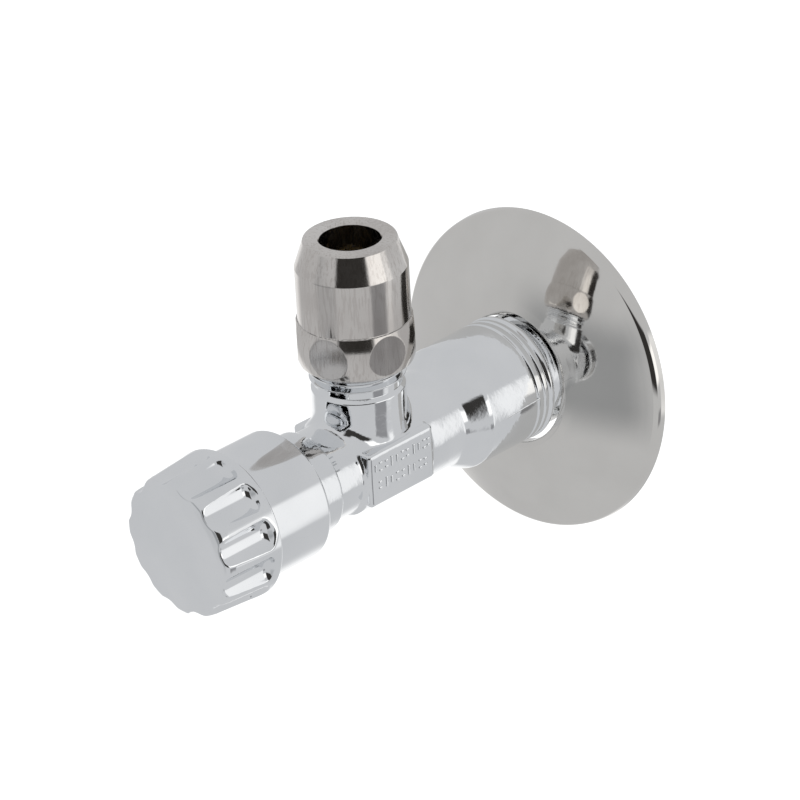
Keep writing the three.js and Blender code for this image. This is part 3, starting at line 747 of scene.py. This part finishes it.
# ---------- knob ----------
knob_face = [(r, KNOB_FRONT + r * r / 230, 12.0) for r in (2.0, 4.0, 6.0, 8.0, 10.0)]
grip_shell = profile_field([
    (0, KNOB_FRONT), *knob_face, (GRIP_FRONT_R - 0.25, KNOB_EDGE - 0.25, 1.4),
    (GRIP_FRONT_R + 0.03, KNOB_EDGE + 1.4, 3.0),
    (GRIP_BACK_R, SEAM - 0.1, 0.35), (GRIP_BACK_R - 0.5, SEAM), (0, SEAM),
], arc_steps=10)
flute_bar = profile_field([
    (0, KNOB_FRONT - 4), (FLUTE_R, KNOB_FRONT - 4), (FLUTE_R, FLUTE_END - FLUTE_SLOPE, 1.3),
    (FLUTE_R - 2.0, FLUTE_END, 0.4), (0, FLUTE_END),
], arc_steps=10)
grip_hollow = profile_field([
    (0, KNOB_EDGE + 2.0), (5.8, KNOB_EDGE + 2.0), (5.8, SEAM - 2.0), (7.5, SEAM - 2.0),
    (7.5, KNOB_EDGE + 2.2),
    (10.6, KNOB_EDGE + 2.2), (10.6, SEAM + 2), (0, SEAM + 2),
])


def grip_field(x, y, z):
    r = np.hypot(x, z)
    pitch = 2 * math.pi / FLUTES
    angle = np.arctan2(z, x) - math.radians(FLUTE_FIRST)
    angle = angle - pitch * np.round(angle / pitch)
    beside = np.hypot(r * np.cos(angle) - FLUTE_FLOOR_R - FLUTE_R, r * np.sin(angle))
    outside = blend_max(grip_shell(r, y), -flute_bar(beside, y), 0.55)
    return np.maximum(outside, -grip_hollow(r, y))


grip = carved("knob_grip_moulded", grip_field, (
    spaced((-GRIP_BACK_R - 0.4, GRIP_BACK_R + 0.4, 0.2)),
    spaced((KNOB_FRONT - 0.4, KNOB_EDGE + 1.6, 0.13), (KNOB_EDGE + 1.6, FLUTE_END - 2.5, 0.3),
           (FLUTE_END - 2.5, SEAM + 0.4, 0.13)),
    spaced((-GRIP_BACK_R - 0.4, GRIP_BACK_R + 0.4, 0.2)),
), KNOB_CHROME, "knob", "chrome_knob")
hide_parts("knob_grip")

sleeve_inner = SLEEVE_R - 1.25
turned_for("knob_sleeve", "knob_sleeve_moulded", [
    (9.1, SEAM - 4.5), (10.3, SEAM - 4.5, 0.2), (10.3, SEAM + 0.25), (SLEEVE_R, SEAM + 0.25, 0.15),
    (SLEEVE_R, SLEEVE_BACK, 1.3), (sleeve_inner, SLEEVE_BACK, 0.3), (sleeve_inner, SEAM + 2.0, 0.4),
    (9.1, SEAM + 1.0, 0.4),
], KNOB_CHROME, "knob", "chrome_knob", segments=192)

# ---------- spindle and jumper ----------
SPINDLE_END = BONNET_END + 8.5
SPINDLE_SHOULDER = NECK_FACE - 6.7
O_RING_YS = (NECK_FACE - 5.0, NECK_FACE - 2.4)
SPLINE_START = SEAM - 0.6
SPINDLE_TIP = node_box("spindle")[0][1]
SPLINES = 12


def spindle_field():
    grooves = [corner for y in O_RING_YS for corner in (
        (SPINDLE_R, y - 0.8, 0.08), (SPINDLE_R - 1, y - 0.8, 0.15), (SPINDLE_R - 1, y + 0.8, 0.15),
        (SPINDLE_R, y + 0.8, 0.08))]
    shell = profile_field([
        (0, SPINDLE_TIP), (STEM_R - 0.1, SPINDLE_TIP, 0.3), (STEM_R - 0.1, SPINDLE_TIP + 0.5),
        (STEM_R - 0.8, SPINDLE_TIP + 0.5), (STEM_R - 0.8, SPINDLE_TIP + 1.6),
        (STEM_R - 0.1, SPINDLE_TIP + 1.6),
        (STEM_R - 0.1, SPLINE_START), (STEM_R, SPLINE_START, 0.1), (STEM_R, SPINDLE_SHOULDER, 0.2),
        (SPINDLE_R, SPINDLE_SHOULDER, 0.2), *grooves, (SPINDLE_R, SPINDLE_END, 0.5), (2.0, SPINDLE_END, 0.1),
        (2.0, SPINDLE_END - 6.5), (0, SPINDLE_END - 6.5),
    ])

    def field(x, y, z):
        r = np.hypot(x, z)
        wave = np.clip(np.cos(SPLINES * np.arctan2(z, x)) * 1.6, -1, 1)
        teeth = np.maximum(r - (STEM_R - 0.3 + 0.2 * wave), y - SPLINE_START + 0.2)
        return np.maximum(shell(r, y), np.minimum(teeth, np.where(y > SPLINE_START - 0.2, -1.0, 1.0)))

    return field


spindle_piece = carved("spindle_turned", spindle_field(), (
    spaced((-SPINDLE_R - 0.3, SPINDLE_R + 0.3, 0.16)), spaced((SPINDLE_TIP - 0.3, SPINDLE_END + 0.3, 0.18)),
    spaced((-SPINDLE_R - 0.3, SPINDLE_R + 0.3, 0.16))), BRASS, "knob", "brass")
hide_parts("spindle")

SEAT_FACE = node_box("seat_washer_nut")[0][1]
DISC_BACK = node_box("seat_washer")[0][1] - 0.3
WASHER_R = node_box("seat_washer")[1][0]
turned_for("jumper", "jumper_turned", [
    (0, SPINDLE_END - 6), (1.9, SPINDLE_END - 6, 0.3), (1.9, DISC_BACK - 2.2, 0.4),
    (5.7, DISC_BACK - 2.2, 0.3),
    (5.7, DISC_BACK, 0.2), (1.5, DISC_BACK), (1.5, SEAT_FACE + 2.4, 0.3), (0, SEAT_FACE + 2.4),
], BRASS, "jumper", "brass", segments=96)
turned_for("seat_washer", "seat_washer_moulded",
    ring_corners(1.8, WASHER_R, DISC_BACK + 0.3, SEAT_FACE - 0.3, 0.3),
           RUBBER, "jumper", "rubber", segments=96)
hex_piece("seat_washer_nut_turned", "seat_washer_nut", [(0, SEAT_FACE + 0.5), (2.0, SEAT_FACE + 0.5),
          (2.0, SEAT_FACE + 1.2), (0, SEAT_FACE + 1.2)], 2.75, SEAT_FACE, SEAT_FACE + 1.9,
          [(0, SEAT_FACE - 2), (1.8, SEAT_FACE - 2), (1.8, SEAT_FACE + 4), (0, SEAT_FACE + 4)],
          BRASS, "brass", "jumper", step=0.1)

# ---------- splined bush and clip ----------
INSERT_LOW, INSERT_HIGH = node_box("knob_insert")


def insert_field():
    shell = profile_field([
        (0, INSERT_LOW[1]), (INSERT_HIGH[0], INSERT_LOW[1], 0.4), (INSERT_HIGH[0], INSERT_HIGH[1], 0.4),
        (0, INSERT_HIGH[1]),
    ])

    def field(x, y, z):
        r, angle = np.hypot(x, z), np.arctan2(z, x)
        teeth = STEM_R + 0.2 * np.clip(np.cos(SPLINES * angle) * 1.6, -1, 1) - r
        rib = 0.3 - np.abs(np.sin(3 * angle)) * r / 3
        keyed = np.maximum(rib, INSERT_HIGH[0] - 0.25 - r)
        return np.maximum(np.maximum(shell(r, y), teeth), keyed)

    return field


insert_piece = carved("knob_insert_moulded", insert_field(), tuple(
    spaced((INSERT_LOW[d] - 0.3, INSERT_HIGH[d] + 0.3, 0.16)) for d in range(3)), ACETAL, "knob",
    "white_plastic")
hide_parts("knob_insert")

CLIP_LOW, CLIP_HIGH = node_box("knob_clip")


def clip_field():
    ring = profile_field(ring_corners(STEM_R - 0.65, CLIP_HIGH[0], CLIP_LOW[1], CLIP_HIGH[1], 0.12))

    def field(x, y, z):
        slot = np.maximum(np.abs(x) - 1.0, -z)
        ends = np.minimum(np.hypot(np.abs(x) - 1.55, z - STEM_R - 0.05) - 0.5, 9.0)
        return np.maximum(np.maximum(ring(np.hypot(x, z), y), -slot),
            -np.where(ends < -0.25, -ends - 0.25, -1.0))

    return field


clip_piece = carved("knob_clip_pressed", clip_field(), (
    spaced((CLIP_LOW[0] - 0.2, CLIP_HIGH[0] + 0.2, 0.1)),
    spaced((CLIP_LOW[1] - 0.1, CLIP_HIGH[1] + 0.1, 0.08)),
    spaced((CLIP_LOW[2] - 0.2, CLIP_HIGH[2] + 0.2, 0.1))), STEEL, "knob", "spring_steel")
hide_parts("knob_clip")


# ---------- compression fitting ----------
def nut_field():
    ball = math.hypot(NUT_FLAT, NUT_FLAT_R)
    swell = [(math.sqrt(ball ** 2 - (h - NUT_MIDDLE) ** 2), h)
             for h in np.linspace(NUT_HEX_LOW, NUT_LEDGE, 24)]
    shell = profile_field([
        (0, NUT_BOTTOM), (8.95, NUT_BOTTOM, 0.3), *swell, (NUT_UPPER_R + 0.02, NUT_LEDGE + 0.12),
        (NUT_UPPER_R, NUT_TOP - 4.9, 0.5), (NUT_FACE_R, NUT_TOP, 0.45), (0, NUT_TOP),
    ])
    bore = profile_field([
        (0, NUT_BOTTOM - 2), (9.3, NUT_BOTTOM - 2), (8.43, NUT_BOTTOM + 0.5), (8.43, BRANCH_TOP + 1.4),
        (7.2, BRANCH_TOP + 1.4), (7.2, BRANCH_TOP + 4.4), (TUBE_R + 0.18, BRANCH_TOP + 4.4),
        (TUBE_R + 0.18, NUT_TOP - 0.35), (TUBE_R + 0.6, NUT_TOP + 0.1), (TUBE_R + 2.0, NUT_TOP + 2),
        (0, NUT_TOP + 2),
    ])
    turn = math.radians(NUT_FLAT_TURN)

    def field(x, y, z):
        u, v = x, y - OUTLET_Y
        r = np.hypot(u, v)
        along = u * math.cos(turn) + v * math.sin(turn)
        across = v * math.cos(turn) - u * math.sin(turn)
        flats = np.maximum(hexagon_field(along, across, NUT_FLAT), z - NUT_LEDGE)
        flats = np.where(z > NUT_LEDGE, -1.0, flats)
        return np.maximum(np.maximum(shell(r, z), flats), -bore(r, z))

    return field


nut_piece = carved("compression_nut_turned", nut_field(), (
    spaced((NUT_LOW[0] - 0.4, NUT_HIGH[0] + 0.4, 0.22)), spaced((NUT_LOW[1] - 0.4, NUT_HIGH[1] + 0.4, 0.22)),
    spaced((NUT_BOTTOM - 0.3, NUT_HEX_LOW + 0.4, 0.11), (NUT_HEX_LOW + 0.4, NUT_LEDGE - 0.3, 0.2),
           (NUT_LEDGE - 0.3, NUT_LEDGE + 0.3, 0.06), (NUT_LEDGE + 0.3, NUT_TOP - 5.4, 0.35),
           (NUT_TOP - 5.4, NUT_TOP - 4.4, 0.12), (NUT_TOP - 4.4, NUT_TOP - 0.8, 0.3),
           (NUT_TOP - 0.8, NUT_TOP + 0.3, 0.1))), NICKEL, "nut", "nickel")
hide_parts("compression_nut")

OLIVE_LOW, OLIVE_HIGH = node_box("olive")
crown = (OLIVE_LOW[2] + OLIVE_HIGH[2]) / 2
turned_for("olive", "olive_turned", [
    (TUBE_R + 0.15, OLIVE_LOW[2]), (TUBE_R + 0.6, OLIVE_LOW[2], 0.1), (OLIVE_HIGH[0], crown - 0.3, 0.6),
    (OLIVE_HIGH[0], crown + 0.3, 0.6), (TUBE_R + 0.6, OLIVE_HIGH[2], 0.1), (TUBE_R + 0.15, OLIVE_HIGH[2]),
], BRASS, "olive", "brass", place=along_outlet, offset=(0, OUTLET_Y, 0))
THRUST_LOW, THRUST_HIGH = node_box("thrust_ring")
turned_for("thrust_ring", "thrust_ring_turned",
           ring_corners(TUBE_R + 0.2, THRUST_HIGH[0], THRUST_LOW[2], THRUST_HIGH[2]),
           BRASS, "olive", "brass", place=along_outlet, offset=(0, OUTLET_Y, 0))

# ---------- rosette ----------
ROCK = JOINTS["rosette_rock"]
neck = Vector(ROCK["pos_m"]) / MM
lean = Quaternion(-Vector(ROCK["axis"]).normalized(), math.radians(ROCK["range_deg"][1])).to_matrix().to_4x4()
stand = Matrix.Translation(neck) @ lean @ Matrix.Translation((0, ROSETTE_HEIGHT, 0))


def dome(r, below=0.0):
    """A corner on the dome's outer face, or on the sheet's inner face, at a radius."""
    return r, ROSETTE_DOME_LEVEL - math.sqrt((ROSETTE_DOME_R - below) ** 2 - r ** 2), 60.0


def rosette_bend(below=0.0, corners=4):
    """Corners round the bend between the skirt and the dome."""
    start, end = math.asin(ROSETTE_BEND_START / ROSETTE_DOME_R), math.radians(ROSETTE_BEND_END)
    centre_r = ROSETTE_BEND_START - ROSETTE_BEND_R * math.sin(start)
    centre_h = -dome(ROSETTE_BEND_START)[1] - ROSETTE_BEND_R * math.cos(start)
    step = (end - start) / corners
    bend = ROSETTE_BEND_R - below
    reach = bend / math.cos(step / 2)
    slopes = [end - step * (i + 0.5) for i in range(corners)]
    return [(centre_r + reach * math.sin(a), -centre_h - reach * math.cos(a), bend) for a in slopes]


tube_end = -ROSETTE_HEIGHT + NECK_TUBE
tube_outside = ROSETTE_HOLE_R + 0.5
turned_for("rosette", "rosette_pressed", [
    (ROSETTE_R, 0, 0.1), *rosette_bend(),
    *[dome(r) for r in np.linspace(27.6, 15.8, 9)],
    (ROSETTE_HOLE_R + 2.6, dome(ROSETTE_HOLE_R + 2.6)[1], 1.6),
    (ROSETTE_HOLE_R + 1.1, -ROSETTE_HEIGHT, 0.9), (ROSETTE_HOLE_R, -ROSETTE_HEIGHT, 0.25),
    (ROSETTE_HOLE_R, tube_end, 0.1), (tube_outside, tube_end, 0.1),
    (tube_outside, dome(tube_outside)[1] + 0.75, 0.4),
    *[dome(r, ROSETTE_SHEET) for r in np.linspace(14.2, 27.4, 9)], *reversed(rosette_bend(ROSETTE_SHEET)),
    (ROSETTE_R - ROSETTE_SHEET, 0, 0.1),
], STAINLESS, "rosette", "stainless", segments=256, matrix=stand)

# ---------- light, floor and camera ----------
scene = bpy.context.scene
scene.view_settings.view_transform = "Standard"
scene.view_settings.look = "None"


def direction(azimuth, elevation):
    """The unit vector towards an azimuth and elevation: 0 is -Y, 90 is +X."""
    a, e = math.radians(azimuth), math.radians(elevation)
    return Vector((math.sin(a) * math.cos(e), -math.cos(a) * math.cos(e), math.sin(e)))


world = bpy.data.worlds.new("studio")
world.use_nodes = True
scene.world = world
wn, wl = world.node_tree.nodes, world.node_tree.links
towards = wn.new("ShaderNodeTexCoord").outputs["Generated"]


def world_math(operation, *values):
    node = wn.new("ShaderNodeMath")
    node.operation = operation
    for socket, value in zip(node.inputs, values):
        if isinstance(value, (int, float)):
            socket.default_value = value
        else:
            wl.new(value, socket)
    return node.outputs["Value"]


def world_dot(axis):
    node = wn.new("ShaderNodeVectorMath")
    node.operation = "DOT_PRODUCT"
    wl.new(towards, node.inputs[0])
    node.inputs[1].default_value = axis
    return node.outputs["Value"]


def soft_window(offset, half, soft):
    """1 within half a width of the middle, falling to 0 over a soft edge."""
    node = wn.new("ShaderNodeMapRange")
    node.interpolation_type = "SMOOTHSTEP"
    for socket, value in (("From Min", half - soft), ("From Max", half + soft), ("To Min", 1.0),
            ("To Max", 0.0)):
        node.inputs[socket].default_value = value
    wl.new(world_math("ABSOLUTE", offset), node.inputs["Value"])
    return node.outputs["Result"]


def lit_panel(under, azimuth, elevation, width, height, soft, colour):
    """A rectangular panel or flag of the studio, by its middle direction and its size in degrees."""
    forward = direction(azimuth, elevation)
    sideways = direction(azimuth + 90, 0)
    upwards = forward.cross(sideways)
    turn = world_math("ARCTAN2", world_dot(sideways), world_dot(forward))
    lift = world_math("ARCSINE", world_dot(upwards))
    edge = math.radians(soft)
    inside = world_math("MULTIPLY", soft_window(turn, math.radians(width / 2), edge),
                        soft_window(lift, math.radians(height / 2), edge))
    node = wn.new("ShaderNodeMix")
    node.data_type = "RGBA"
    wl.new(inside, node.inputs["Factor"])
    node.inputs["B"].default_value = (*colour, 1)
    if isinstance(under, tuple):
        node.inputs["A"].default_value = (*under, 1)
    else:
        wl.new(under, node.inputs["A"])
    return node.outputs["Result"]


studio = (0.63, 0.635, 0.645)
for panel in (
        (-140, -36, 84, 36, 8, (1.04, 1.04, 1.04)),
        (-10, -10, 40, 30, 7, (0.36, 0.37, 0.38)),
        (46, 11, 64, 38, 3.5, (0.04, 0.038, 0.036)),
        (99, 6.5, 36, 23, 3, (1.35, 1.34, 1.32)),
        (124, -3, 12, 46, 3, (1.02, 1.02, 1.02)),
        (98, -26, 28, 9, 2.5, (0.3, 0.3, 0.31))):
    studio = lit_panel(studio, *panel)
wl.new(studio, wn["Background"].inputs["Color"])

floor_mesh = bpy.data.meshes.new("floor")
side = 6.0
floor_z = BODY_LOW[2] * MM - 0.06
floor_mesh.from_pydata([(-side, -side, floor_z), (side, -side, floor_z), (side, side, floor_z),
    (-side, side, floor_z)],
                       [], [(0, 1, 2, 3)])
floor = bpy.data.objects.new("floor", floor_mesh)
scene.collection.objects.link(floor)
floor.visible_glossy = False
paper = bpy.data.materials.new("paper")
paper.use_nodes = True
pn, pl = paper.node_tree.nodes, paper.node_tree.links
pn["Principled BSDF"].inputs["Base Color"].default_value = (0.9, 0.9, 0.9, 1)
pn["Principled BSDF"].inputs["Roughness"].default_value = 0.9
pn["Principled BSDF"].inputs["Emission Color"].default_value = (1, 1, 1, 1)
pn["Principled BSDF"].inputs["Emission Strength"].default_value = 0.6
floor_mesh.materials.append(paper)

camera_data = bpy.data.cameras.new("camera")
camera_data.lens = 180.0
camera_data.sensor_width = 36.0
camera = bpy.data.objects.new("camera", camera_data)
scene.collection.objects.link(camera)
scene.camera = camera
back = direction(46.083, 27.741)
right = Vector((math.cos(math.radians(46.083)), math.sin(math.radians(46.083)), 0))
up = back.cross(right)
roll = math.radians(-3.066)
across, rise = right * math.cos(roll) + up * math.sin(roll), up * math.cos(roll) - right * math.sin(roll)
camera.matrix_world = Matrix.Translation((Vector((9.911, OUTLET_Y, 13.463)) + back * 669.46) * MM) @ Matrix(
    (across, rise, back)).transposed().to_4x4()
camera_data.clip_start, camera_data.clip_end = 0.01, 20.0
